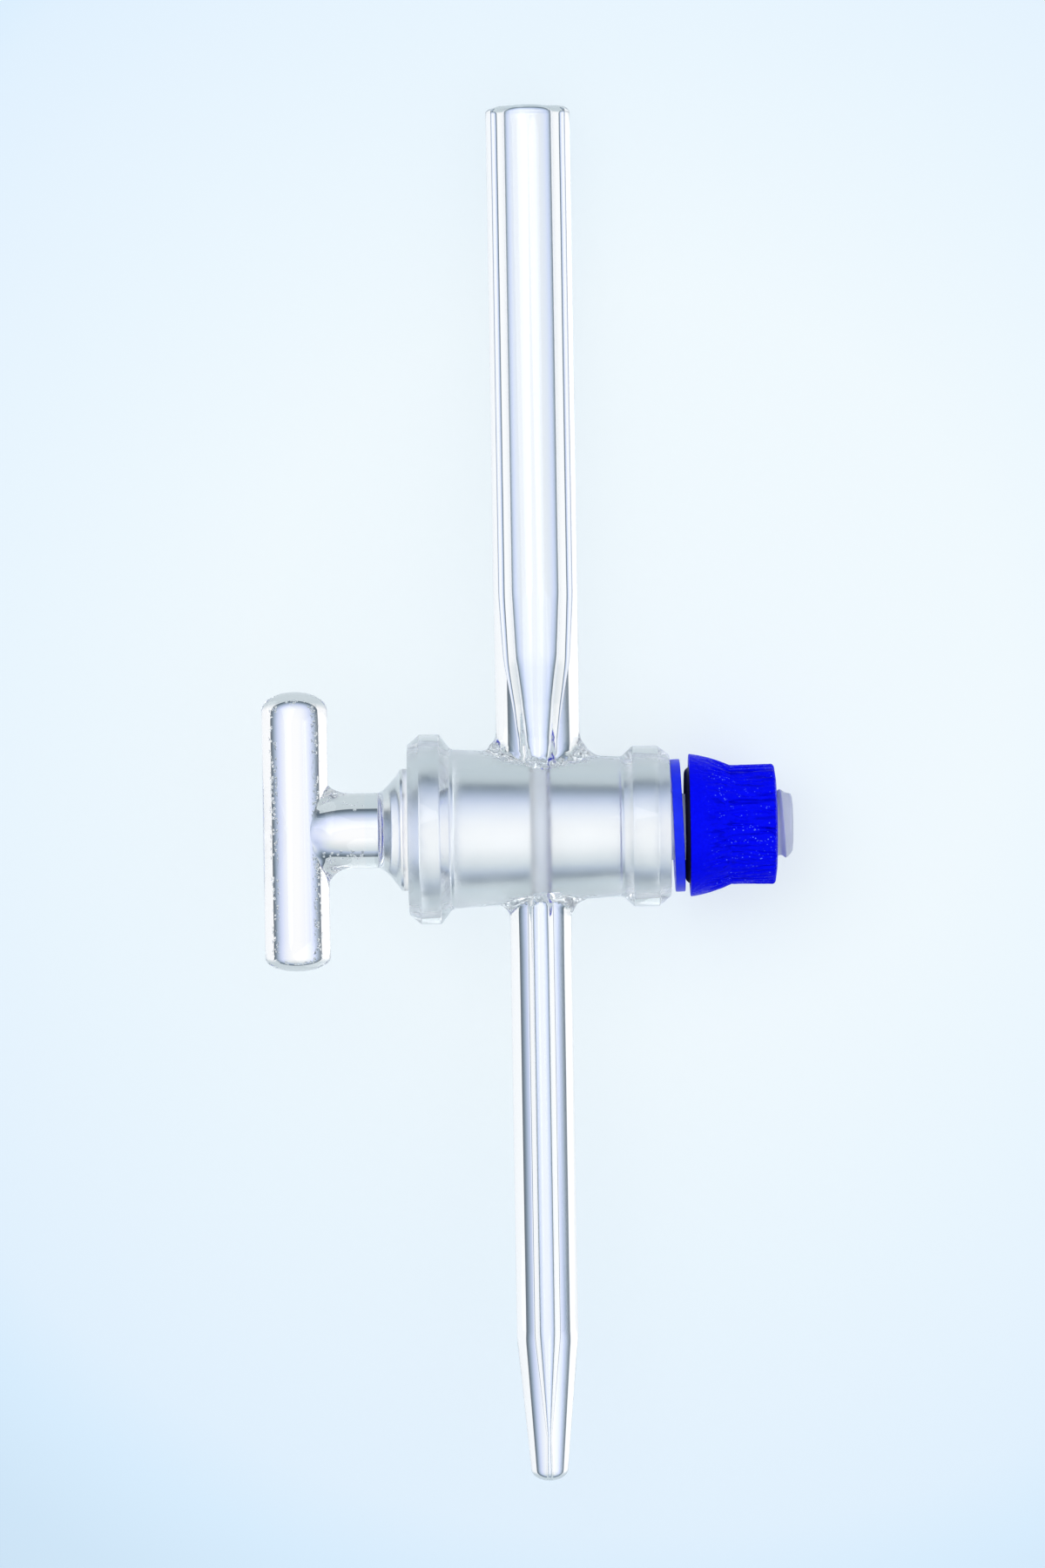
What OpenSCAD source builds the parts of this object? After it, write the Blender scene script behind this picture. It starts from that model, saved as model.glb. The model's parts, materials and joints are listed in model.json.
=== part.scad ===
// Glass burette stopcock, lying at rest.
// A ground plug with a T-handle turns in a tapered barrel, which has a wide inlet tube and a
// drawn jet fused to it. A washer, a seal ring and a screwed nut hold the plug in its seat.
//
// Each piece is turned about the plug axis, +X from the handle to the nut, or about the tube
// axis, +Y from the jet to the inlet, and all are then laid down on the surface z = 0.

/* [Inlet tube] */
// Outside diameter of the inlet tube
inlet_d = 10; // [9:0.1:12]
// Bore of the inlet tube
inlet_bore = 6; // [4:0.1:7]
// Distance from the plug axis to the rim of the inlet tube
inlet_reach = 85.3; // [60:0.1:120]
// Bore of the inlet where it has narrowed to meet the barrel
inlet_neck_bore = 3.2; // [2.6:0.1:3.6]
// Distance from the plug axis at which the inlet bore begins to narrow
inlet_neck_start = 27; // [22:0.5:40]
// Distance from the plug axis at which the inlet bore has its neck size
inlet_neck_end = 10.5; // [9:0.1:14]
// Radius of the melted edges of the inlet's rim
inlet_rim_round = 0.5; // [0.2:0.05:0.9]

/* [Jet] */
// Outside diameter of the jet
jet_d = 7.3; // [6.4:0.1:9]
// Bore of the jet
jet_bore = 2.1; // [1.2:0.1:3]
// Distance from the plug axis to the tip of the jet
jet_reach = 77.3; // [50:0.1:110]
// Length over which the jet is drawn down to its tip
jet_taper = 17; // [10:0.5:24]
// Outside diameter of the jet just above its rounded end
tip_d = 4.4; // [3.6:0.1:5.4]
// Length of the rounded end
tip_dome = 1.4; // [0.8:0.1:2.5]
// Bore of the tip
tip_bore = 0.5; // [0.4:0.05:1]
// Length of the tip's fine bore
tip_bore_len = 5.4; // [3:0.1:8]

/* [Barrel] */
// Length of the barrel along the plug axis
barrel_len = 31; // [28:0.1:38]
// Diameter of the ground seat at its wide end, which is the handle's end
seat_d = 14.5; // [12:0.1:20]
// Change in the seat's diameter for each millimetre of its length
seat_taper = 0.1; // [0.08:0.005:0.12]
// Thickness of the barrel's wall next to the handle's flange
wide_wall = 2.45; // [1.5:0.05:4]
// Thickness of the barrel's wall next to the nut's flange
narrow_wall = 2.27; // [1.5:0.05:4]
// Height by which the handle's flange stands out of the barrel
wide_flange_rise = 1.8; // [1:0.1:4]
// Width of that flange's flat edge
wide_flange_land = 2.4; // [1.5:0.1:4]
// Height by which the nut's flange stands out of the barrel
narrow_flange_rise = 1.25; // [0.5:0.05:3]
// Width of that flange's flat edge
narrow_flange_land = 3; // [1.5:0.1:4]
// Length of the slope between each flange and the barrel
flange_slope = 1.3; // [0.8:0.1:2]
// Length of the bevel on the outer side of each flange
flange_bevel = 1.4; // [0.8:0.1:1.8]
// Drop of that bevel towards the mouth
flange_bevel_drop = 1.2; // [0.6:0.1:1.4]
// Width of the bead of glass around the foot of each tube
foot_bead = 0.9; // [0.3:0.1:1.2]

/* [Plug] */
// Diameter of the hole across the plug
plug_bore = 2.5; // [1.5:0.1:3]
// Distance by which the plug's narrow end stops short of the barrel's mouth
plug_short = 0.8; // [0.3:0.1:1.5]
// Distance by which the plug's wide end stands out of the barrel's mouth
plug_proud = 0.4; // [0.1:0.1:1]
// Radius of the curve between the plug's shoulder and its stem
shoulder_curve = 1.5; // [0.8:0.1:2]
// Diameter of the stem between the plug and its handle
stem_d = 8.9; // [8:0.1:10]
// Diameter of the handle's bar
handle_d = 7.8; // [7:0.1:9.5]
// Length of the handle's bar
handle_len = 33.1; // [26:0.1:45]
// Height of the dome on each end of the bar
handle_dome = 1.9; // [0.8:0.1:3]
// Distance from the plug's wide end to the axis of the handle's bar
stem_len = 12.9; // [10:0.1:20]
// Diameter over the thread on the plug's narrow end
thread_d = 8.2; // [7.6:0.1:8.6]
// Distance by which the threaded end stands out of the nut
thread_proud = 1.9; // [0.5:0.1:4]
// Radius of the melted edge of the threaded end
thread_end_round = 0.85; // [0.4:0.05:1.5]

/* [Washer, seal ring and nut] */
// Outside diameter of the washer
washer_d = 15.7; // [15:0.1:17]
// Thickness of the washer
washer_t = 1.15; // [0.8:0.05:2]
// Angle at which the loose washer leans
washer_lean = 1.8; // [0:0.1:2.4]
// Diameter of the seal ring's round section
ring_section = 2.7; // [2.4:0.05:3.2]
// Width to which the tightened nut squeezes the seal ring
ring_squeezed = 2.3; // [2:0.05:2.3]
// Width of the gap between the washer and the nut, in which the seal ring shows
ring_shown = 0.55; // [0.3:0.05:1]
// Length of the nut
nut_len = 10.35; // [9:0.05:14]
// Thickness of the nut's skirt around the seal ring, at the nut's face
skirt_wall = 1.35; // [0.8:0.05:2.5]
// Thickness of the nut's waist around the thread, under its grip ribs
waist_wall = 2.82; // [1.5:0.02:3.4]
// Length of the skirt, from the nut's face to its waist
nut_skirt_len = 4.9; // [4:0.1:6]
// Radius of the skirt's curve
nut_skirt_curve = 12; // [10:0.5:20]
// Number of grip ribs round the nut
rib_count = 60; // [30:2:72]
// Width of a grip rib
rib_width = 0.35; // [0.2:0.05:0.5]
// Height of a grip rib
rib_height = 0.12; // [0.05:0.01:0.2]
// Radius of the nut's outer edge
nut_edge = 0.45; // [0.2:0.05:0.8]

/* [Fits] */
// Clearance on radius between the plug and its seat
plug_gap = 0.05; // [0.02:0.01:0.1]
// Clearance on radius between the thread and the nut
thread_gap = 0.08; // [0.05:0.01:0.1]
// Clearance on radius between the thread and the washer
washer_gap = 0.3; // [0.2:0.05:0.5]
// Clearance on radius between the thread and the seal ring
ring_gap = 0.25; // [0.15:0.05:0.5]
// Clearance between faces that seat on each other, and around the seal ring in the nut
seat_gap = 0.05; // [0.03:0.01:0.1]

/* [Hidden] */
$fn = 96;
past = 1; // how far a cut runs beyond the face that it opens
glass = [0.84, 0.89, 0.97, 0.6];
blue_plastic = [0.06, 0.1, 0.95];
black_rubber = [0.03, 0.03, 0.04];

// Places along the plug axis
barrel_end = barrel_len / 2;
wide_land_end = -barrel_end + flange_bevel + wide_flange_land;
wide_slope_end = wide_land_end + flange_slope;
narrow_land_end = barrel_end - flange_bevel;
narrow_land_start = narrow_land_end - narrow_flange_land;
narrow_slope_start = narrow_land_start - flange_slope;
plug_narrow_end = barrel_end - plug_short;
plug_wide_end = -barrel_end - plug_proud;
handle_x = plug_wide_end - stem_len;
ring_d = thread_d + 2 * (ring_gap + ring_section);
lean_x = washer_d / 2 * sin(washer_lean);
washer_x = barrel_end + seat_gap + washer_t / 2 * cos(washer_lean) + lean_x;
ring_start = washer_x + washer_t / 2 + ring_d / 2 * sin(washer_lean) + seat_gap;
nut_start = ring_start + ring_shown;
nut_waist = nut_start + nut_skirt_len;
nut_end = nut_start + nut_len;
recess_end = ring_start + ring_squeezed + seat_gap;
thread_end = nut_end + thread_proud;

// Radius of the ground seat at x
function seat_r(x) = seat_d / 2 - seat_taper / 2 * (x + barrel_end);

// Radii of the barrel and its flanges
barrel_wide_r = seat_r(wide_slope_end) + wide_wall;
barrel_narrow_r = seat_r(narrow_slope_start) + narrow_wall;
barrel_mid_r = (barrel_wide_r + barrel_narrow_r) / 2;
wide_flange_r = barrel_wide_r + wide_flange_rise;
narrow_flange_r = barrel_narrow_r + narrow_flange_rise;

// Radii of the nut, around the seal ring and around the thread
recess_r = ring_d / 2 + seat_gap;
nut_bore_r = thread_d / 2 + thread_gap;
skirt_r = recess_r + skirt_wall;
waist_r = nut_bore_r + waist_wall;

// The part rests on three points: the inner edge of the wide flange, the outer edge of the
// narrow one, and the inlet's melted rim. The nut and the inlet dip by these angles.
nut_dip = atan((wide_flange_r - narrow_flange_r) / (narrow_land_end - wide_land_end));
axis_height = wide_flange_r * cos(nut_dip) + wide_land_end * sin(nut_dip);
rim_r = inlet_d / 2 - inlet_rim_round;
rim_y = inlet_reach - inlet_rim_round;
rim_fall = asin((axis_height - inlet_rim_round) / norm([rim_r, rim_y])) - atan2(rim_r, rim_y);
inlet_dip = asin(sin(rim_fall) / cos(nut_dip));

// The middle of the part's outline once it is laid down, which goes to x = 0 and y = 0
inlet_end_y = rim_y * cos(inlet_dip) + rim_r * sin(inlet_dip) + inlet_rim_round;
jet_end_y = jet_reach * cos(inlet_dip);
handle_end_x = handle_x * cos(nut_dip) - handle_d / 2;
thread_end_x = thread_end * cos(nut_dip) + (thread_d / 2 - thread_end_round) * sin(nut_dip);
mid_x = (thread_end_x + handle_end_x) / 2;
mid_y = (inlet_end_y - jet_end_y) / 2;

// Points on part of an ellipse with the given half widths
function arc(centre, half, from, to, steps = 8) =
    [for (i = [0 : steps])
        let (turn = from + (to - from) * i / steps)
            [centre[0] + half[0] * cos(turn), centre[1] + half[1] * sin(turn)]];

// Outlines are [radius, place along the plug axis]
module about_plug_axis() {
    rotate([0, 90, 0])
        rotate_extrude()
            children();
}

// Outlines are [radius, place along the tube axis]
module about_tube_axis() {
    rotate([-90, 0, 0])
        rotate_extrude()
            children();
}

module laid_down() {
    translate([-mid_x, -mid_y, axis_height])
        rotate([-inlet_dip, nut_dip, 0])
            children();
}

module barrel_blank() {
    about_plug_axis()
        polygon([
            [0, -barrel_end],
            [wide_flange_r - flange_bevel_drop, -barrel_end],
            [wide_flange_r, -barrel_end + flange_bevel],
            [wide_flange_r, wide_land_end],
            [barrel_wide_r, wide_slope_end],
            [barrel_narrow_r, narrow_slope_start],
            [narrow_flange_r, narrow_land_start],
            [narrow_flange_r, narrow_land_end],
            [narrow_flange_r - flange_bevel_drop, barrel_end],
            [0, barrel_end]
        ]);
}

// The outline of a tube's foot, with a bead of glass where it meets the barrel. It starts
// inside the seat, which is cut out afterwards.
function foot(tube_r) = [
    [0, seat_r(0) / 2],
    [tube_r + foot_bead, seat_r(0) / 2],
    [tube_r + foot_bead, barrel_mid_r - foot_bead / 2],
    [tube_r, barrel_mid_r + foot_bead]
];

module inlet_blank() {
    about_tube_axis()
        polygon(concat(
            foot(inlet_d / 2),
            arc([rim_r, rim_y], [inlet_rim_round, inlet_rim_round], 0, 90),
            [[0, inlet_reach]]
        ));
}

module jet_blank() {
    mirror([0, 1, 0])
        about_tube_axis()
            polygon(concat(
                foot(jet_d / 2),
                [[jet_d / 2, jet_reach - jet_taper]],
                arc([0, jet_reach - tip_dome], [tip_d / 2, tip_dome], 0, 90)
            ));
}

module ground_seat() {
    about_plug_axis()
        polygon([
            [0, -barrel_end - past],
            [seat_r(-barrel_end - past), -barrel_end - past],
            [seat_r(barrel_end + past), barrel_end + past],
            [0, barrel_end + past]
        ]);
}

module inlet_passage() {
    mouth_r = inlet_bore / 2 + inlet_rim_round;
    about_tube_axis()
        polygon(concat(
            [[0, 0], [inlet_neck_bore / 2, 0], [inlet_neck_bore / 2, inlet_neck_end],
             [inlet_bore / 2, inlet_neck_start]],
            arc([mouth_r, rim_y], [inlet_rim_round, inlet_rim_round], 180, 90),
            [[mouth_r, inlet_reach + past], [0, inlet_reach + past]]
        ));
}

module jet_passage() {
    fine_start = jet_reach - tip_bore_len;
    mirror([0, 1, 0])
        about_tube_axis()
            polygon([
                [0, 0],
                [jet_bore / 2, 0],
                [jet_bore / 2, jet_reach - jet_taper],
                [tip_bore / 2, fine_start],
                [tip_bore / 2, jet_reach + past],
                [0, jet_reach + past]
            ]);
}

module barrel() {
    color(glass)
        difference() {
            union() {
                barrel_blank();
                inlet_blank();
                jet_blank();
            }
            ground_seat();
            inlet_passage();
            jet_passage();
        }
}

// The plug, its shoulder, its threaded end and the stem, which ends inside the handle's bar
module plug_blank() {
    wide_r = seat_r(plug_wide_end) - plug_gap;
    narrow_r = seat_r(plug_narrow_end) - plug_gap;
    curve_r = stem_d / 2 + shoulder_curve;
    curve_x = plug_wide_end - (wide_r - curve_r) - shoulder_curve * sqrt(2);
    end_r = thread_d / 2 - thread_end_round;
    stem_end_r = handle_d / 2 * 0.9;
    about_plug_axis()
        polygon(concat(
            [[0, handle_x], [stem_end_r, handle_x], [stem_d / 2, handle_x + handle_d / 2]],
            arc([curve_r, curve_x], [shoulder_curve, shoulder_curve], 180, 135),
            [[wide_r, plug_wide_end], [narrow_r, plug_narrow_end], [thread_d / 2, plug_narrow_end]],
            arc([end_r, thread_end - thread_end_round], [thread_end_round, thread_end_round], 0, 90),
            [[0, thread_end]]
        ));
}

module handle_bar() {
    side_y = handle_len / 2 - handle_dome;
    translate([handle_x, 0, 0])
        about_tube_axis()
            polygon(concat(
                arc([0, -side_y], [handle_d / 2, handle_dome], -90, 0),
                arc([0, side_y], [handle_d / 2, handle_dome], 0, 90)
            ));
}

module plug() {
    color(glass)
        difference() {
            union() {
                plug_blank();
                handle_bar();
            }
            rotate([90, 0, 0])
                cylinder(d = plug_bore, h = seat_d + 2 * past, center = true);
        }
}

module washer() {
    color(blue_plastic)
        translate([washer_x, 0, 0])
            rotate([0, 0, washer_lean])
                rotate([0, 90, 0])
                    difference() {
                        cylinder(d = washer_d, h = washer_t, center = true);
                        cylinder(r = thread_d / 2 + washer_gap, h = washer_t + 2 * past, center = true);
                    }
}

// A rubber ring of round section, squeezed flat against the washer and the nut
module seal_ring() {
    color(black_rubber)
        about_plug_axis()
            translate([(ring_d - ring_section) / 2, ring_start + ring_squeezed / 2])
                intersection() {
                    circle(d = ring_section);
                    square([ring_section, ring_squeezed], center = true);
                }
}

// The nut's outline: a bell-shaped skirt, a straight waist and a rounded outer edge
module nut_blank() {
    skirt_drop = skirt_r - waist_r;
    half_turn = asin(norm([skirt_drop, nut_skirt_len]) / 2 / nut_skirt_curve);
    first_turn = atan2(skirt_drop, nut_skirt_len) - half_turn;
    centre = [skirt_r - nut_skirt_curve * cos(first_turn),
              nut_start - nut_skirt_curve * sin(first_turn)];
    about_plug_axis()
        polygon(concat(
            [[0, nut_start]],
            arc(centre, [nut_skirt_curve, nut_skirt_curve], first_turn, first_turn + 2 * half_turn),
            arc([waist_r - nut_edge, nut_end - nut_edge], [nut_edge, nut_edge], 0, 90),
            [[0, nut_end]]
        ));
}

// A toothed sleeve along the waist. Only its teeth stand out of the nut, and they sink into
// the skirt at one end.
module grip_ribs() {
    root_r = waist_r - rib_width;
    top_r = waist_r + rib_height;
    half_rib = rib_width / 2;
    ribs_start = nut_waist - nut_skirt_len / 4;
    translate([ribs_start, 0, 0])
        rotate([0, 90, 0])
            linear_extrude(nut_end - nut_edge - ribs_start)
                polygon([
                    for (i = [0 : rib_count - 1], corner = [[root_r, -1], [top_r, -1], [top_r, 1], [root_r, 1]])
                        let (turn = i * 360 / rib_count, side = corner[1] * half_rib)
                            [corner[0] * cos(turn) - side * sin(turn),
                             corner[0] * sin(turn) + side * cos(turn)]
                ]);
}

module nut() {
    color(blue_plastic)
        difference() {
            union() {
                nut_blank();
                grip_ribs();
            }
            about_plug_axis()
                polygon([
                    [0, nut_start - past],
                    [recess_r, nut_start - past],
                    [recess_r, recess_end],
                    [nut_bore_r, recess_end],
                    [nut_bore_r, nut_end + past],
                    [0, nut_end + past]
                ]);
        }
}

laid_down() barrel();
laid_down() plug();
laid_down() washer();
laid_down() seal_ring();
laid_down() nut();
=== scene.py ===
import json
import math

import bpy
from mathutils import Matrix, Vector, noise


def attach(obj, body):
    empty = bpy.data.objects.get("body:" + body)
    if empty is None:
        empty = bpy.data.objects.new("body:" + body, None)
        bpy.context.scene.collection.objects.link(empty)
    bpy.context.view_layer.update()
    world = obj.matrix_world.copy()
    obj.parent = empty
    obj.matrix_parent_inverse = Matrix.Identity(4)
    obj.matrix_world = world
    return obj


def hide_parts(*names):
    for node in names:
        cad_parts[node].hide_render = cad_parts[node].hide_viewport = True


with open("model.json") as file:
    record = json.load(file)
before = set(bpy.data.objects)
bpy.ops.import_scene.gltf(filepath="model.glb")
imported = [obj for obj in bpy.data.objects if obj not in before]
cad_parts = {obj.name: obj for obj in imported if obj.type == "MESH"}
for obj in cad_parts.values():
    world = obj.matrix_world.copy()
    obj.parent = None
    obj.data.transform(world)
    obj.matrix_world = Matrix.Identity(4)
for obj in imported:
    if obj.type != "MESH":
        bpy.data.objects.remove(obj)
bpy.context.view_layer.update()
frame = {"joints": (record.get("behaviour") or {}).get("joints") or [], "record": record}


# ---- Barrel ----
# The body is one piece of borosilicate glass: a stout barrel with a flange at each end, and an inlet tube
# and a jet melted onto it. The rims are fire polished, the seat inside is ground to a taper of 1 in 10.
# Everything is modelled in millimetres along the plug (X) and the tubes (Y), then laid down as the CAD lies.

joint = next(j for j in frame["joints"] if j["name"] == "plug_turn")
mount = next(m for m in frame["record"]["mounts"] if m["name"] == "inlet_outside")
ALONG_PLUG = Vector(joint["axis"])
ALONG_TUBES = Vector(mount["axis"])
CROSSING = Vector(joint["pos_m"])
FACING = ALONG_PLUG.cross(ALONG_TUBES)
MM = 0.001
LAID_DOWN = Matrix.Translation(CROSSING) @ Matrix((ALONG_PLUG, ALONG_TUBES, FACING)).transposed().to_4x4()
LAID_DOWN = LAID_DOWN @ Matrix.Scale(MM, 4)

SEAT_R, SEAT_TAPER, SEAT_CUT_END, HALF_BARREL = 7.25, 0.05, 16, 15.5
BODY_R, BODY_SLOPE = 8.833, 0.0589
WIDE_RIM_R, SLIM_RIM_R = 11.24, 9.505
INLET_R, INLET_END, INLET_BORE_R = 5.0, 85.3, 3.0
JET_R, JET_END, JET_NARROWS, JET_BORE_R = 3.65, 77.29, 60.3, 1.1
TIP_R, TIP_DOME, TIP_BORE_R = 2.2, 1.4, 0.2
SAME_POINT, SLIVER = 1e-4, 0.002


def clear_selection():
    """Leaves edit mode and deselects everything."""
    if bpy.context.object and bpy.context.object.mode == "EDIT":
        bpy.ops.object.mode_set(mode="OBJECT")
    bpy.ops.object.select_all(action="DESELECT")


def rounded(corners, steps=6, longest=3.0):
    """Points of an outline given as (radius, along, fillet) corners, with arcs at the fillets."""
    points = []
    for i, (radius, along, fillet) in enumerate(corners):
        corner = Vector((radius, along))
        if not fillet:
            points.append(corner)
            continue
        back = (Vector(corners[i - 1][:2]) - corner).normalized()
        ahead = (Vector(corners[i + 1][:2]) - corner).normalized()
        half = back.angle(ahead) / 2
        centre = corner + (back + ahead).normalized() * fillet / math.sin(half)
        start = corner + back * fillet / math.tan(half) - centre
        turn = start.angle_signed(corner + ahead * fillet / math.tan(half) - centre)
        points += [centre + Matrix.Rotation(-turn * s / steps, 2) @ start for s in range(steps + 1)]
    fine = points[:1]
    for a, b in zip(points, points[1:]):
        cuts = max(1, math.ceil((b - a).length / longest))
        fine += [a.lerp(b, c / cuts) for c in range(1, cuts + 1)]
    return fine


def dome(radius, end, height, way, smallest=0.0, steps=8):
    """Corners of a melted end: an elliptic arc from the smallest radius out to the full one.

    way is 1 for an end at the top, -1 for one at the bottom.
    """
    first = math.asin(smallest / radius)
    bends = [first + (math.pi / 2 - first) * s / steps for s in range(steps + 1)]
    return [(radius * math.sin(b), end - way * height * (1 - math.cos(b)), 0) for b in bends]


def turned(name, outline, axis, steps):
    """A solid turned about X or Y, from an outline of (radius, along) points from axis to axis."""
    place = {"X": lambda p: Vector((p[1], p[0], 0)), "Y": lambda p: Vector((p[0], p[1], 0))}[axis]
    clear_selection()
    bpy.ops.mesh.primitive_plane_add(size=1)
    piece = bpy.context.object
    piece.name = piece.data.name = name
    bpy.ops.object.mode_set(mode="EDIT")
    bpy.ops.mesh.merge(type="CENTER")
    bpy.ops.transform.translate(value=place(outline[0]))
    for a, b in zip(outline, outline[1:]):
        bpy.ops.mesh.extrude_region_move(TRANSFORM_OT_translate={"value": place(b) - place(a)})
    bpy.ops.mesh.select_all(action="SELECT")
    bpy.ops.mesh.spin(steps=steps, angle=math.tau, center=(0, 0, 0), axis=(axis == "X", axis == "Y", 0))
    bpy.ops.mesh.select_all(action="SELECT")
    bpy.ops.mesh.remove_doubles(threshold=SAME_POINT)
    bpy.ops.mesh.normals_make_consistent(inside=False)
    bpy.ops.object.mode_set(mode="OBJECT")
    return piece


def combine(piece, other, operation):
    """Joins the other solid to the piece, or cuts it out of the piece."""
    clear_selection()
    bpy.context.view_layer.objects.active = piece
    step = piece.modifiers.new(operation, "BOOLEAN")
    step.operation, step.object, step.solver = operation, other, "EXACT"
    bpy.ops.object.modifier_apply(modifier=step.name)
    bpy.data.objects.remove(other)
    # where two edges meet, the cut leaves slivers a thousandth of a millimetre wide
    bpy.ops.object.mode_set(mode="EDIT")
    bpy.ops.mesh.select_all(action="SELECT")
    bpy.ops.mesh.remove_doubles(threshold=SLIVER)
    bpy.ops.object.mode_set(mode="OBJECT")


def lay_down(piece, crease=30):
    """Smooths the finished piece up to the crease angle, and puts it where the CAD piece lies."""
    clear_selection()
    piece.select_set(True)
    bpy.context.view_layer.objects.active = piece
    piece.matrix_world = LAID_DOWN @ piece.matrix_world
    bpy.ops.object.transform_apply(location=True, rotation=True, scale=True)
    bpy.ops.object.shade_smooth_by_angle(angle=math.radians(crease))


# the outline goes round the wide flange, along the waist and round the slim flange
barrel = turned("barrel_glass", rounded([
    (0, -HALF_BARREL, 0), (10.045, -HALF_BARREL, 0.25), (WIDE_RIM_R, -14.1, 0.35), (WIDE_RIM_R, -11.7, 0.35),
    (9.445, -10.4, 0.9), (8.255, 9.8, 0.9), (SLIM_RIM_R, 11.1, 0.35), (SLIM_RIM_R, 14.1, 0.35),
    (8.305, HALF_BARREL, 0.25), (0, HALF_BARREL, 0)]), "X", 160)

# a tube's foot has ten close rings under FOOT_TOP, which melt_foot bends into its fillet
FOOT_TOP, FOOT_ROWS, FOOT_END = 12.5, 2.5, 8.6
STEEPEST, SUNK, TUCK = math.radians(80), 0.04, 3
MELT_WAVES = ((0.24, 0.45), (0.30, 1.4), (0.10, 2.6))


def body_top(x, z):
    """Height of the barrel's own skin over the plug axis."""
    return math.sqrt((BODY_R - BODY_SLOPE * x) ** 2 - z * z)


def melt_foot(tube, radius, way, fillet_of):
    """Shapes the rings of a tube's foot into a melted fillet that follows the round barrel.

    way is 1 for a tube that points up, -1 for one that points down, and fillet_of gives the fillet's radius
    at an angle round the tube.
    """
    for v in tube.data.vertices:
        along = v.co.y * way
        if along > FOOT_TOP:
            continue
        angle = math.atan2(v.co.z, v.co.x)
        fillet = fillet_of(angle)
        across = (radius + 0.5 * fillet) * math.sin(angle)
        slope = math.atan2(across * math.sin(angle), body_top(0, across))
        last = STEEPEST - slope
        foot_r = radius + fillet * (1 - math.cos(last))
        foot = body_top(foot_r * math.cos(angle), foot_r * math.sin(angle)) - SUNK
        # share is 0 at the top ring, 1 at the barrel's skin, and more inside the barrel
        share = (FOOT_TOP - along) / FOOT_ROWS
        if share <= 1:
            bend = share * last
            out = radius + fillet * (1 - math.cos(bend))
            height = foot + fillet * (math.sin(last) - math.sin(bend))
            spot = Vector((v.co.x, v.co.z, height * way))
            waves = sum(tall * noise.noise(spot * close) for tall, close in MELT_WAVES)
            out += waves * min(share * 1.5, 1)
        else:
            out = foot_r
            height = foot - (share - 1) * TUCK
        ring = math.hypot(v.co.x, v.co.z)
        if ring > 0.01:
            v.co.x *= out / ring
            v.co.z *= out / ring
        v.co.y = height * way


foot_rings = [FOOT_TOP - FOOT_ROWS * i / 10 for i in range(10, -1, -1)]
inlet = turned("inlet_tube", rounded(
    [(0, FOOT_END, 0), (INLET_R, FOOT_END, 0)] + [(INLET_R, y, 0) for y in foot_rings] + [
    (INLET_R, 16, 0), (INLET_R, INLET_END, 0.7), (0, INLET_END, 0)], longest=2.0), "Y", 128)

# the melted rim is not quite level
RIM_ZONE, RIM_DIP = 1.2, 0.16
for v in inlet.data.vertices:
    near_rim = max(0.0, 1 - (INLET_END - v.co.y) / RIM_ZONE)
    v.co.y += near_rim * RIM_DIP * (noise.noise(Vector((v.co.x, v.co.z, 7)) * 0.5) - 0.5)
melt_foot(inlet, INLET_R, 1, lambda angle: 2.6 + 0.5 * math.cos(angle))
combine(barrel, inlet, "UNION")

jet = turned("jet_tube", rounded(
    [(0, -FOOT_END, 0), (JET_R, -FOOT_END, 0)] + [(JET_R, -y, 0) for y in foot_rings]
    + [(JET_R, -JET_NARROWS, 14)] + dome(TIP_R, -JET_END, TIP_DOME, -1, 0.3)[::-1] + [(0, -JET_END, 0)],
    longest=2.0), "Y", 112)
melt_foot(jet, JET_R, -1, lambda angle: 1.95 + 0.45 * math.cos(angle))
combine(barrel, jet, "UNION")

# the seat, and the bores that narrow towards it and towards the tip
seat = turned("seat", rounded([
    (0, -SEAT_CUT_END, 0), (SEAT_R + SEAT_TAPER * (SEAT_CUT_END - HALF_BARREL), -SEAT_CUT_END, 0),
    (SEAT_R - SEAT_TAPER * (SEAT_CUT_END + HALF_BARREL), SEAT_CUT_END, 0), (0, SEAT_CUT_END, 0)]), "X", 160)
combine(barrel, seat, "DIFFERENCE")
inlet_bore = turned("inlet_bore", rounded([
    (0, 3, 0), (1.25, 3, 0), (1.5, 8.0, 4), (1.62, 10.5, 6), (2.02, 14.6, 12), (2.66, 19.8, 24),
    (INLET_BORE_R, 27.5, 30), (INLET_BORE_R, 84.6, 0.8), (3.9, 86, 0), (0, 86, 0)], longest=2.0), "Y", 96)
combine(barrel, inlet_bore, "DIFFERENCE")
jet_bore = turned("jet_bore", rounded([
    (0, -3, 0), (JET_BORE_R, -3, 0), (JET_BORE_R, -60, 14), (TIP_BORE_R, -72, 3), (0.3, -78, 0),
    (0, -78, 0)]), "Y", 48)
combine(barrel, jet_bore, "DIFFERENCE")
lay_down(barrel)


def add_node(tree, kind, sockets, **settings):
    """A shader node with its settings. A socket given another node's output is linked, else it is set."""
    node = tree.nodes.new("ShaderNode" + kind)
    for name, value in settings.items():
        setattr(node, name, value)
    for socket, value in sockets.items():
        if isinstance(value, bpy.types.NodeSocket):
            tree.links.new(value, node.inputs[socket])
        else:
            node.inputs[socket].default_value = value
    return node


def spread(tree, source, low, high, to_low=0.0, to_high=1.0):
    """The source's range from low to high, stretched over another range and held at its ends."""
    node = add_node(tree, "MapRange", {
        "Value": source, "From Min": low, "From Max": high, "To Min": to_low, "To Max": to_high})
    return node.outputs["Result"]


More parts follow.
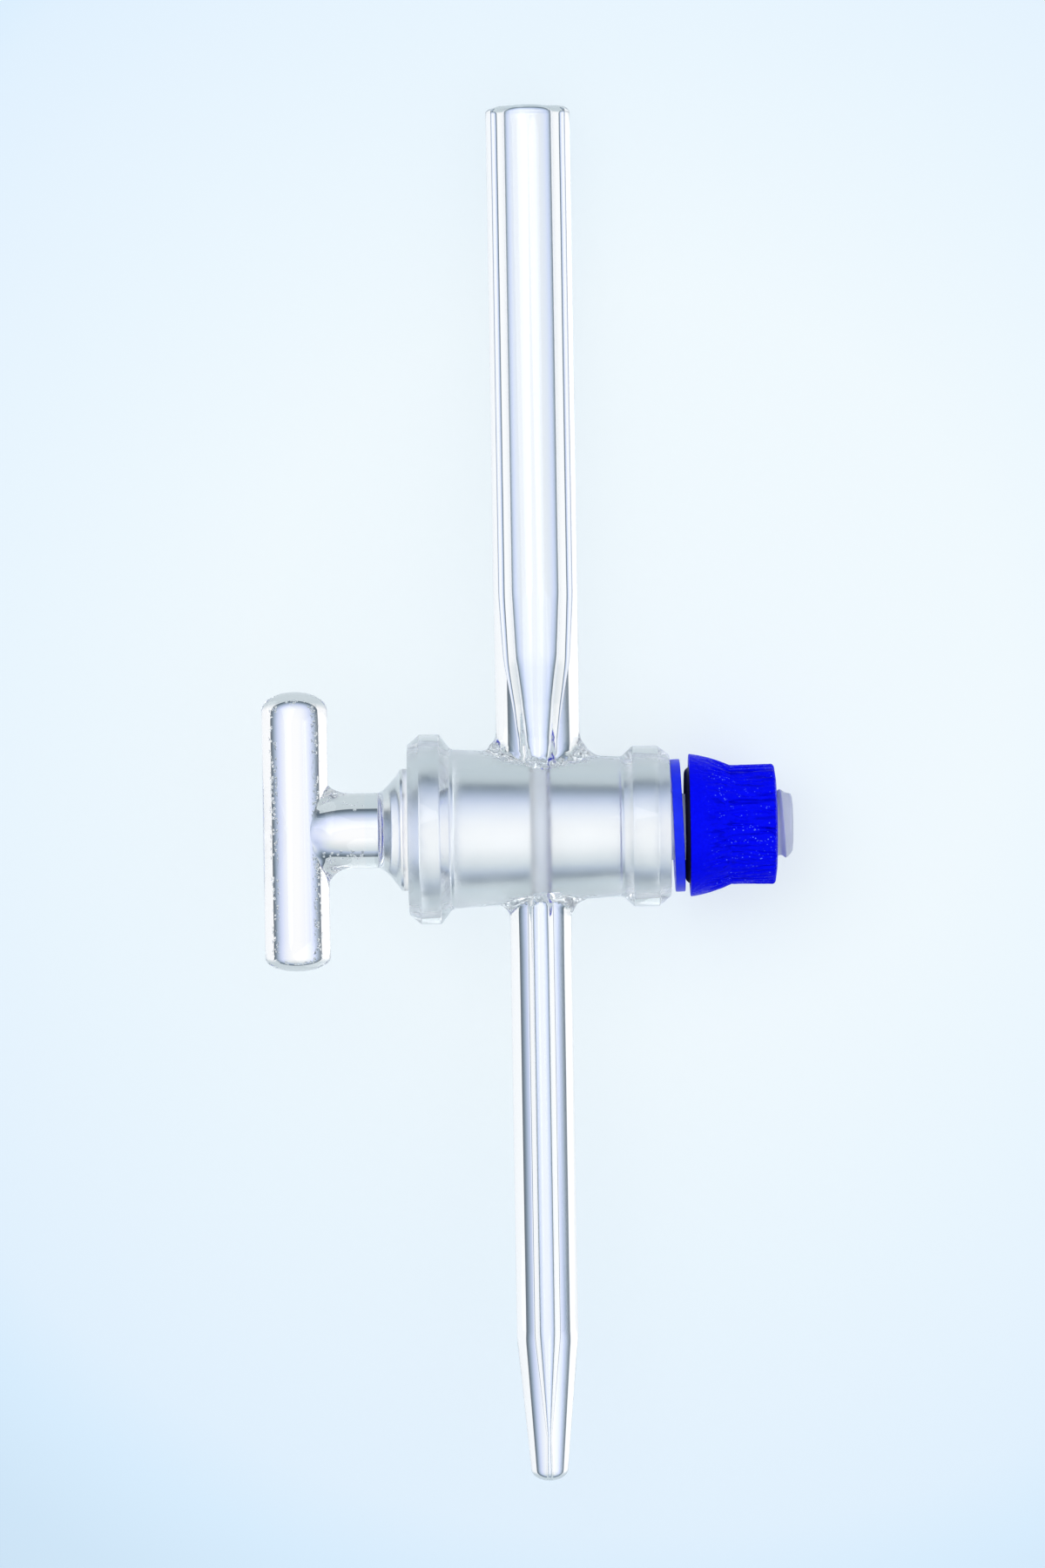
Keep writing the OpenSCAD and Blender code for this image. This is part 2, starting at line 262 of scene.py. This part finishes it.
def glass(name, tint, haze, grain, relief, cloud=0.0, bend=1.474):
    """Borosilicate glass with fine marks in its surface, which lamps shine through.

    haze is its roughness, grain and relief are those of the marks, cloud is the share of light that it
    scatters, and bend is its index of refraction.
    """
    material = bpy.data.materials.new(name)
    material.use_nodes = True
    tree = material.node_tree
    tree.nodes.clear()
    place = add_node(tree, "TexCoord", {})
    stretch = add_node(tree, "Mapping", {"Vector": place.outputs["Object"], "Scale": grain})
    marks = add_node(tree, "TexNoise", {"Vector": stretch.outputs["Vector"], "Scale": 1.0, "Detail": 3.0})
    bump = add_node(tree, "Bump", {"Strength": relief, "Distance": 0.0001, "Height": marks.outputs["Fac"]})
    skin = add_node(tree, "BsdfPrincipled", {
        "Base Color": (*tint, 1), "IOR": bend, "Transmission Weight": 1.0 - cloud,
        "Roughness": spread(tree, marks.outputs["Fac"], 0.3, 0.7, haze * 0.8, haze * 1.25),
        "Normal": bump.outputs["Normal"]})
    lamp_way = add_node(tree, "BsdfTransparent", {"Color": (0.86, 0.88, 0.92, 1)})
    path = add_node(tree, "LightPath", {})
    either = add_node(tree, "MixShader", {
        "Fac": path.outputs["Is Shadow Ray"], 1: skin.outputs["BSDF"], 2: lamp_way.outputs["BSDF"]})
    add_node(tree, "OutputMaterial", {"Surface": either.outputs["Shader"]})
    return material


def wear(piece, finishes, finish_at):
    """Gives the piece its finishes: finish_at says which one a face has, from its place and its normal."""
    for finish in finishes:
        piece.data.materials.append(finish)
    back = LAID_DOWN.inverted()
    turn = LAID_DOWN.to_3x3().inverted()
    for face in piece.data.polygons:
        finish = finish_at(back @ face.center, (turn @ face.normal).normalized())
        face.material_index = finishes.index(finish)


polished = glass("fire_polished_glass", (0.955, 0.98, 1.0), 0.006, (260, 60, 260), 0.08)
# grease fills the ground joint, so that it hardly bends the light
ground = glass("greased_ground_glass", (0.98, 0.985, 0.985), 0.45, (900, 900, 900), 0.0, bend=1.08)
melted = glass("melted_glass", (0.955, 0.98, 0.985), 0.03, (800, 800, 800), 0.9)


def barrel_finish(centre, normal):
    """Melted round the feet of the tubes, ground in the seat, polished elsewhere."""
    from_tube = math.hypot(centre.x, centre.z) - (INLET_R if centre.y > 0 else JET_R)
    if 7 < abs(centre.y) < 11.8 and 0.05 < from_tube < 3.0:
        return melted
    outwards = Vector((0, centre.y, centre.z))
    seat_r = SEAT_R - SEAT_TAPER * (centre.x + HALF_BARREL)
    if abs(outwards.length - seat_r) < 0.06 and abs(centre.x) < HALF_BARREL and normal.dot(outwards) < 0:
        return ground
    return polished


wear(barrel, [polished, ground, melted], barrel_finish)
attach(barrel, "barrel")
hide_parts("barrel")


# ---- Plug ----
# The plug is pressed and ground from solid glass: a T handle, a stem, the tapered key with its cross bore,
# and a threaded end for the nut. Its taper is ground against the seat; handle and stem are fire polished.

STEM_R, HANDLE_R, HANDLE_X, HALF_HANDLE = 4.45, 3.89, -28.8, 16.55
SHOULDER_X, COLLAR_R, COLLAR_X = -18.95, 4.8, -18.35
FLARE_X, FLARE_ROWS, FLARE_TURN = -22.2, 2.6, math.radians(78)
FLARE_LIFT, LOWER_LIFT, FLARE_SLIM, FLARE_WRINKLE, FLARE_SUNK = 1.5, 0.9, 1.0, 0.10, 0.1
UPPER_DOME, LOWER_DOME = 2.2, 1.6
PITCH, CREST_R, THREAD_DEPTH, CREST_POWER = 1.5, 4.1, 0.4, 0.7
THREAD_START, RUN_IN, RUN_OUT, PLUG_END = 15.2, 1.0, 0.5, 30.0
CROSS_BORE_R = 1.25

# from the stem's end inside the handle, over flare and shoulder, down the taper to the end of the thread
flare_rows = [(STEM_R, FLARE_X - FLARE_ROWS * i / 13, 0) for i in range(13, -1, -1)]
shoulder = [(STEM_R, SHOULDER_X, 0.5), (COLLAR_R, COLLAR_X, 0.2)] + [
    (COLLAR_R + 0.93 * t + 0.135 * t * t, COLLAR_X + t, 0) for t in (0.5, 1.0, 1.5, 2.0)]
thread_rows = [(CREST_R, THREAD_START + 0.12 * i, 0) for i in range(117)]
plug = turned("plug_glass", rounded(
    [(0, -26.0, 0), (2.4, -26.0, 0), (3.2, -25.4, 0)] + flare_rows + shoulder + [
    (7.22, -16.1, 0.1), (5.71, 14.7, 0.3)] + thread_rows + [
    (3.95, 29.45, 0), (3.65, 29.75, 0), (3.2, 29.93, 0), (2.6, PLUG_END, 0), (0, PLUG_END, 0)],
    longest=1.0), "X", 144)

for v in plug.data.vertices:
    out = math.hypot(v.co.y, v.co.z)
    angle = math.atan2(v.co.z, v.co.y)
    if v.co.x < FLARE_X:
        # the rings of the flare bend from the stem into the side of the round handle, or lie inside it
        share = min((FLARE_X - v.co.x) / FLARE_ROWS, 1)
        bend = share * FLARE_TURN
        reach = math.sin(bend) / math.sin(FLARE_TURN)
        lift = (FLARE_LIFT - LOWER_LIFT * min(0.0, math.cos(angle))) * (1 - math.cos(bend))
        wrinkle = FLARE_WRINKLE * noise.noise(Vector((v.co.x, v.co.y, v.co.z)) * 1.1) * share
        across = (STEM_R - FLARE_SLIM) * math.sin(angle)
        side = HANDLE_X + math.sqrt(HANDLE_R ** 2 - across ** 2) - FLARE_SUNK
        if v.co.x > FLARE_X - FLARE_ROWS - 0.01:
            v.co.x = FLARE_X + (side - FLARE_X) * reach
            v.co.y = (STEM_R + lift + wrinkle) * math.cos(angle)
            v.co.z = (STEM_R - FLARE_SLIM * reach ** 2 + wrinkle) * math.sin(angle)
        else:
            v.co.x = HANDLE_X
            v.co.y, v.co.z = out * math.cos(angle), out * math.sin(angle) * 0.8
    if v.co.x > THREAD_START and out > 2:
        # the thread has rounded crests and fades at both ends
        turn = v.co.x / PITCH - angle / math.tau
        cut = THREAD_DEPTH * (0.5 - 0.5 * math.cos(math.tau * turn)) ** CREST_POWER
        run_in = min(1.0, (v.co.x - THREAD_START) / RUN_IN)
        slim = 1 - cut * run_in * min(1.0, (PLUG_END - v.co.x) / RUN_OUT) / CREST_R
        v.co.y *= slim
        v.co.z *= slim

handle = turned("handle_bar", rounded(
    dome(HANDLE_R, -HALF_HANDLE, LOWER_DOME, -1) + [(HANDLE_R, y, 0) for y in range(-13, 14, 2)]
    + dome(HANDLE_R, HALF_HANDLE, UPPER_DOME, 1)[::-1]), "Y", 96)
for v in handle.data.vertices:
    v.co.x += HANDLE_X
combine(plug, handle, "UNION")
cross_bore = turned("cross_bore", rounded([
    (0, -9, 0), (CROSS_BORE_R, -9, 0), (CROSS_BORE_R, 9, 0), (0, 9, 0)]), "Y", 64)
combine(plug, cross_bore, "DIFFERENCE")
lay_down(plug)

pressed = glass("pressed_glass", (0.985, 0.99, 1.0), 0.006, (260, 60, 260), 0.08)
drilled = glass("drilled_glass", (0.97, 0.97, 0.97), 0.5, (1500, 1500, 1500), 0.0, 0.4)
# the thread's blue tint is painted: it stands for the blue light of the nut showing in the ground glass
threaded = glass("threaded_glass", (0.79, 0.84, 1.0), 0.45, (700, 700, 700), 0.1, 0.6)


def ramp(tree, source, stops):
    """A colour ramp on the source, with (position, colour) stops."""
    node = add_node(tree, "ValToRGB", {"Fac": source})
    elements = node.color_ramp.elements
    while len(elements) < len(stops):
        elements.new(1.0)
    for element, (position, colour) in zip(elements, stops):
        element.position = position
        element.color = (*colour, 1)
    return node.outputs["Color"]


def product(tree, first, second):
    """Two numbers multiplied."""
    return add_node(tree, "Math", {0: first, 1: second}, operation="MULTIPLY").outputs["Value"]


# the mould left rows of tiny pits in patches along the sides of handle and stem
tree = pressed.node_tree
place = tree.nodes["Texture Coordinate"].outputs
level = add_node(tree, "VectorMath", {0: place["Normal"], 1: FACING}, operation="DOT_PRODUCT")
sides = ramp(tree, level.outputs["Value"], [
    (0.0, (0, 0, 0)), (0.62, (0, 0, 0)), (0.68, (1, 1, 1)), (0.82, (1, 1, 1)), (0.87, (0, 0, 0))])
clusters = add_node(tree, "TexNoise", {"Vector": place["Object"], "Scale": 260})
patches = spread(tree, clusters.outputs["Fac"], 0.40, 0.48)
dots = add_node(tree, "TexVoronoi", {"Vector": place["Object"], "Scale": 2000})
pits = spread(tree, dots.outputs["Distance"], 0.18, 0.4, 1.0, 0.0)
dent = add_node(tree, "Bump", {
    "Strength": 1.0, "Distance": 0.00025, "Height": product(tree, product(tree, sides, patches), pits),
    "Normal": tree.nodes["Bump"].outputs["Normal"]})
tree.links.new(dent.outputs["Normal"], tree.nodes["Principled BSDF"].inputs["Normal"])


def key_finish(centre, normal):
    """Drilled in the cross bore, ground on the taper, polished beside it, pressed on stem and handle."""
    if abs(centre.y) < 7.3 and math.hypot(centre.x, centre.z) < 1.3:
        return drilled
    if centre.x > THREAD_START:
        return threaded
    if -16 < centre.x < 14.8 and math.hypot(centre.y, centre.z) > 5.5:
        return ground
    return polished if centre.x > -21 else pressed


wear(plug, [pressed, ground, drilled, threaded, polished], key_finish)
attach(plug, "plug")
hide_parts("plug")


# ---- Washer ----
# A thin flat washer moulded in blue plastic slides over the thread and bears on the barrel's small end.
# It hangs a little askew on the thread, because its hole is loose.

def plastic(name, colour, roughness, shine, grain=700, pitting=0.25):
    """Moulded plastic with a faint mottle, fine pitting and a soft gloss."""
    material = bpy.data.materials.new(name)
    material.use_nodes = True
    tree = material.node_tree
    skin = tree.nodes["Principled BSDF"]
    place = add_node(tree, "TexCoord", {})
    mottle = add_node(tree, "TexNoise", {
        "Vector": place.outputs["Object"], "Scale": grain, "Detail": 4}).outputs["Fac"]
    shades = ramp(tree, mottle, [
        (0.35, [c * 0.9 for c in colour]), (0.7, [min(c * 1.12, 1) for c in colour])])
    gloss = spread(tree, mottle, 0.0, 1.0, roughness * 0.75, roughness * 1.3)
    bump = add_node(tree, "Bump", {"Strength": pitting, "Distance": 0.0001, "Height": mottle})
    tree.links.new(shades, skin.inputs["Base Color"])
    tree.links.new(gloss, skin.inputs["Roughness"])
    tree.links.new(bump.outputs["Normal"], skin.inputs["Normal"])
    skin.inputs["IOR"].default_value = 1.5
    skin.inputs["Specular IOR Level"].default_value = shine
    skin.inputs["Specular Tint"].default_value = (0.25, 0.35, 1.0, 1)
    return material


WASHER_X, WASHER_R, WASHER_HOLE_R, WASHER_T, LEAN = 16.37, 7.85, 4.4, 1.15, math.radians(1.8)
half_t = WASHER_T / 2
washer = turned("washer_plate", rounded([
    (6, -half_t, 0), (WASHER_R, -half_t, 0.14), (WASHER_R, half_t, 0.14), (WASHER_HOLE_R, half_t, 0.1),
    (WASHER_HOLE_R, -half_t, 0.1), (6, -half_t, 0)]), "X", 160)
washer.matrix_world = Matrix.Translation((WASHER_X, 0, 0)) @ Matrix.Rotation(LEAN, 4, "Z")
lay_down(washer)
washer.data.materials.append(plastic("washer_plastic", (0.012, 0.03, 0.98), 0.3, 0.2))
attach(washer, "seal")
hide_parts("washer")


# ---- Seal ring ----
# A black rubber ring of round section, squeezed between washer and nut, so that it pulls the plug home.
# It is moulded in one piece, and only its outer edge shows.

RING_X, RING_R, SECTION_R, HALF_SQUEEZED = 18.37, 5.7, 1.35, 1.14
bends = [math.tau * i / 28 for i in range(29)]
ring_outline = [Vector((
    RING_R + SECTION_R * math.cos(b),
    RING_X + max(-HALF_SQUEEZED, min(HALF_SQUEEZED, SECTION_R * math.sin(b))))) for b in bends]
seal_ring = turned("seal_ring_rubber", ring_outline, "X", 128)
lay_down(seal_ring, crease=50)
seal_ring.data.materials.append(plastic("ring_rubber", (0.012, 0.012, 0.015), 0.5, 0.4))
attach(seal_ring, "seal")
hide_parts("seal_ring")


# ---- Nut ----
# The nut is moulded in blue plastic: a bell skirt over the ring, a straight grip with fine uneven ribs,
# and a slightly domed end. Its thread pulls the plug home.

NUT_FACE, NUT_END, RECESS_END, RECESS_R, FACE_R = 17.77, 28.12, 19.57, 7.1, 8.45
WAIST_X, WAIST_R, GRIP_R, NUT_BORE_R = 22.67, 7.05, 7.13, 4.18
GROOVE_DEPTH, GROOVES_FROM, GROOVES_TO, GROOVE_FADE = 0.3, 19.6, 28.0, 0.8
RIBS, RIB_DEPTH, RIB_POWER, RIBS_FROM, RIBS_FULL = 70, 0.24, 2.2, 1.3, 2.2

# the outline goes round the ring's recess, down the skirt, along the grip and back through the bore
skirt = [(FACE_R - 0.12 * s - 0.0337 * s * s, NUT_FACE + s, 0) for s in [0.35 * i for i in range(1, 14)]]
grip = [(WAIST_R + (GRIP_R - WAIST_R) * i / 14, WAIST_X + 0.34 * i, 0) for i in range(15)]
bore_rows = [(NUT_BORE_R, 27.8 - 0.19 * i, 0) for i in range(43)]
nut = turned("nut_cap", rounded(
    [(5.5, RECESS_END, 0), (RECESS_R, RECESS_END, 0.2), (RECESS_R, NUT_FACE, 0.15), (FACE_R, NUT_FACE, 0.12)]
    + skirt + grip + [(GRIP_R, 27.82, 0.42), (5.6, 28.05, 0), (NUT_BORE_R, NUT_END, 0.15)] + bore_rows
    + [(NUT_BORE_R, RECESS_END, 0.1), (5.5, RECESS_END, 0)], steps=5, longest=0.9), "X", 640)
for v in nut.data.vertices:
    out, angle = math.hypot(v.co.y, v.co.z), math.atan2(v.co.z, v.co.y)
    if out < 4.3:
        # the grooves of the nut follow the crests of the plug's thread
        turn = v.co.x / PITCH - angle / math.tau
        ends = min(1.0, (GROOVES_TO - v.co.x) / GROOVE_FADE, (v.co.x - GROOVES_FROM) / GROOVE_FADE)
        groove = GROOVE_DEPTH * max(ends, 0.0) * (0.5 + 0.5 * math.cos(math.tau * turn)) ** CREST_POWER
        v.co.y *= 1 + groove / NUT_BORE_R
        v.co.z *= 1 + groove / NUT_BORE_R
    if out < 6.2 or v.co.x < NUT_FACE + 1.2:
        continue
    # only the outside is ribbed: the ribs sway along the grip, and their depth changes from place to place
    spot = Vector((v.co.y, v.co.z, v.co.x * 0.45))
    sway = 2.6 * noise.noise(spot * 0.55) + 0.9 * noise.noise(spot * 1.5 + Vector((5, 1, 3)))
    depth = RIB_DEPTH * max(0.15, 0.7 + 1.3 * noise.noise(spot * 1.2 + Vector((9, 2, 4))))
    rise = min(1.0, max(0.0, (v.co.x - NUT_FACE - RIBS_FROM) / RIBS_FULL))
    crumbs = 0.035 * noise.noise(Vector((v.co.y, v.co.z, v.co.x)) * 3.5)
    valley = (0.5 - 0.5 * math.cos(RIBS * angle + sway * math.pi)) ** RIB_POWER
    rib = depth * rise * valley + rise * (0.02 + crumbs)
    v.co.y *= 1 - rib / out
    v.co.z *= 1 - rib / out
lay_down(nut)
nut_plastic = plastic("nut_plastic", (0.002, 0.004, 1.0), 0.25, 0.02, 2200, 0.8)

# painted shade: darker lines run along the grip between the ribs; painted highlights: small light specks on
# them stand for crumbs catching the light
tree = nut_plastic.node_tree
place = tree.nodes["Texture Coordinate"].outputs["Object"]
far = add_node(tree, "VectorMath", {0: place, 1: ALONG_PLUG}, operation="DOT_PRODUCT")
face_at = MM * NUT_FACE + ALONG_PLUG.dot(CROSSING)
off_face = spread(tree, far.outputs["Value"], face_at + 0.0012, face_at + 0.0035)
along = add_node(tree, "Mapping", {"Vector": place, "Scale": (150, 1500, 1500)})
lines = add_node(tree, "TexNoise", {
    "Vector": along.outputs["Vector"], "Scale": 1.0, "Detail": 2.0}).outputs["Fac"]
# painted shade: these darker lines stand for the shade between the ribs
painted_groove_shade = ramp(tree, lines, [(0.35, (0.66, 0.66, 0.72)), (0.45, (1, 1, 1))])
darken = add_node(tree, "Mix", {
    "Factor": off_face, 6: tree.nodes["Color Ramp"].outputs["Color"], 7: painted_groove_shade},
    data_type="RGBA", blend_type="MULTIPLY")
# painted highlights: light specks on the ribs stand for glints of light on crumbs
dots = add_node(tree, "TexVoronoi", {"Vector": place, "Scale": 3000})
painted_glint_specks = product(tree, spread(tree, dots.outputs["Distance"], 0.16, 0.30, 1.0, 0.0),
                 spread(tree, lines, 0.54, 0.60))
speckled = add_node(tree, "Mix", {
    "Factor": product(tree, painted_glint_specks, off_face), 6: darken.outputs[2], 7: (0.10, 0.17, 1.0, 1)},
    data_type="RGBA")
tree.links.new(speckled.outputs[2], tree.nodes["Principled BSDF"].inputs["Base Color"])
nut.data.materials.append(nut_plastic)
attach(nut, "nut")
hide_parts("nut")


# ---- Bench ----
# A wide pale board that everything lies on, with a painted pool of light: its colour is brightest round the
# stopcock.
# Rays that come out of the glass go through it to the studio.

clear_selection()
bpy.ops.mesh.primitive_grid_add(x_subdivisions=8, y_subdivisions=8, size=3)
bench = bpy.context.object
bench.name = bench.data.name = "bench"
board = bpy.data.materials.new("pale_board")
board.use_nodes = True
tree = board.node_tree
tree.nodes.clear()
place = add_node(tree, "TexCoord", {})
around = add_node(tree, "Mapping", {
    "Vector": place.outputs["Object"], "Location": (0.012, 0.014, 0), "Scale": (0.3, 0.3, 0.3)},
    vector_type="TEXTURE")
pool = add_node(tree, "TexGradient", {"Vector": around.outputs["Vector"]}, gradient_type="SPHERICAL")
# painted light: the board's colour is brightest round the stopcock and darker away from it
painted_light_pool = ramp(tree, pool.outputs["Fac"], [
    (0.0, (0.70, 0.82, 0.95)), (0.5, (0.60, 0.76, 0.91)), (0.58, (0.645, 0.81, 0.955)),
    (0.62, (0.70, 0.86, 1.0)), (0.653, (0.765, 0.89, 1.0)), (0.70, (0.80, 0.91, 1.0)),
    (0.75, (0.828, 0.93, 1.0)), (0.85, (0.885, 0.962, 1.0))])
path = add_node(tree, "LightPath", {})
shade = add_node(tree, "Mix", {
    "Factor": path.outputs["Is Diffuse Ray"], 6: painted_light_pool, 7: (0.85, 0.9, 0.93, 1)}, data_type="RGBA")
paint = add_node(tree, "BsdfDiffuse", {"Color": shade.outputs[2]})
glow = add_node(tree, "Emission", {"Color": painted_light_pool})
face = add_node(tree, "MixShader", {
    "Fac": product(tree, path.outputs["Is Camera Ray"], 0.7), 1: paint.outputs["BSDF"],
    2: glow.outputs["Emission"]})
open_way = add_node(tree, "BsdfTransparent", {})
see = add_node(tree, "MixShader", {
    "Fac": path.outputs["Is Transmission Ray"], 1: face.outputs["Shader"], 2: open_way.outputs["BSDF"]})
add_node(tree, "OutputMaterial", {"Surface": see.outputs["Shader"]})
bench.data.materials.append(board)


# ---- Studio ----
# Soft even light all round, with a lamp above and one at the side. Glass and gloss see a backdrop under
# the bench that darkens outwards, walls white at the foot and dark further up, and a pale ceiling.

BACKDROP_HALF_W, BACKDROP_HALF_H, BACKDROP_SHIFT, BACKDROP_FROM_HANDLE = 0.565, 0.475, 0.055, 0.02
room = bpy.data.worlds.new("studio")
bpy.context.scene.world = room
room.use_nodes = True
tree = room.node_tree
tree.nodes.clear()
place = add_node(tree, "TexCoord", {}).outputs["Generated"]
below = add_node(tree, "Mapping", {
    "Vector": place, "Rotation": LAID_DOWN.to_euler(), "Scale": (BACKDROP_HALF_W, BACKDROP_HALF_H, 1000),
    "Location": ALONG_TUBES * BACKDROP_SHIFT - ALONG_PLUG * BACKDROP_FROM_HANDLE}, vector_type="TEXTURE")
backdrop = add_node(tree, "TexGradient", {"Vector": below.outputs["Vector"]}, gradient_type="SPHERICAL")
zones = ramp(tree, backdrop.outputs["Fac"], [
    (0.0, (1.0, 1.0, 1.0)), (0.008, (0.10, 0.135, 0.17)), (0.09, (0.11, 0.15, 0.19)),
    (0.15, (0.20, 0.26, 0.33)), (0.22, (0.34, 0.42, 0.54)), (0.29, (0.48, 0.56, 0.73)),
    (0.37, (0.62, 0.69, 0.90)), (0.46, (0.74, 0.80, 0.99)), (0.57, (0.86, 0.90, 1.0)),
    (0.70, (0.94, 0.96, 1.0)), (0.85, (1.0, 1.0, 1.0))])
height = add_node(tree, "VectorMath", {0: place, 1: FACING}, operation="DOT_PRODUCT").outputs["Value"]
walls = ramp(tree, height, [
    (0.03, (1.0, 1.0, 1.0)), (0.38, (0.22, 0.25, 0.30)), (0.75, (0.22, 0.25, 0.30)),
    (0.93, (0.85, 0.87, 0.92))])
upper = add_node(tree, "Math", {0: height, 1: 0.0}, operation="GREATER_THAN")
whole = add_node(tree, "Mix", {"Factor": upper.outputs["Value"], 6: zones, 7: walls}, data_type="RGBA")
# it is dimmer towards both ends of the tubes
tilt = add_node(tree, "VectorMath", {0: place, 1: ALONG_TUBES}, operation="DOT_PRODUCT")
size = add_node(tree, "Math", {0: tilt.outputs["Value"]}, operation="ABSOLUTE")
dim = ramp(tree, size.outputs["Value"], [(0.14, (1.0, 1.0, 1.0)), (0.38, (0.57, 0.645, 0.68))])
dimmed = add_node(tree, "Mix", {
    "Factor": 1.0, 6: whole.outputs[2], 7: dim}, data_type="RGBA", blend_type="DARKEN")
seen = add_node(tree, "Background", {"Color": dimmed.outputs[2]})
even = add_node(tree, "Background", {
    "Color": (0.95, 0.97, 1.0, 1), "Strength": spread(tree, height, 0.0, 1.0, 0.22, 0.82)})
wall = add_node(tree, "Background", {"Color": (0.66, 0.78, 0.91, 1)})
path = add_node(tree, "LightPath", {})
pick = add_node(tree, "MixShader", {
    "Fac": path.outputs["Is Diffuse Ray"], 1: seen.outputs["Background"], 2: even.outputs["Background"]})
behind = add_node(tree, "MixShader", {
    "Fac": path.outputs["Is Camera Ray"], 1: pick.outputs["Shader"], 2: wall.outputs["Background"]})
add_node(tree, "OutputWorld", {"Surface": behind.outputs["Shader"]})

for name, spot, width, power in (
        ("lamp_above", (-0.25, 0.3, 0.7), 0.6, 2.0), ("lamp_side", (0.5, -0.2, 0.5), 0.5, 1.0)):
    lamp = bpy.data.objects.new(name, bpy.data.lights.new(name, "AREA"))
    lamp.data.size = width
    lamp.data.energy = power
    lamp.location = spot
    lamp.rotation_euler = (-Vector(spot)).to_track_quat("-Z", "Y").to_euler()
    bpy.context.scene.collection.objects.link(lamp)


# ---- Camera ----
# It looks straight down on the plane of the tubes and the plug, turned a touch, as on a copy stand.

AWAY, ROLL = 0.9, math.radians(-0.95)
AIM = LAID_DOWN @ Vector((-1.9, 5.2, 0))
VIEW_HEIGHT, LONG_SIDE = 0.1856, 36.0
camera = bpy.data.objects.new("camera", bpy.data.cameras.new("camera"))
camera.data.lens = LONG_SIDE * AWAY / VIEW_HEIGHT
up = Matrix.Rotation(ROLL, 3, FACING) @ ALONG_TUBES
camera.matrix_world = Matrix.Translation(AIM + FACING * AWAY) @ Matrix(
    (up.cross(FACING), up, FACING)).transposed().to_4x4()
bpy.context.scene.collection.objects.link(camera)
bpy.context.scene.camera = camera
bpy.context.scene.view_settings.view_transform = "Standard"

# the tubes are light pipes: a ray may bounce along their whole length before it leaves the glass
BOUNCES = 48
bpy.context.scene.cycles.max_bounces = BOUNCES
bpy.context.scene.cycles.transmission_bounces = BOUNCES
bpy.context.scene.cycles.glossy_bounces = BOUNCES
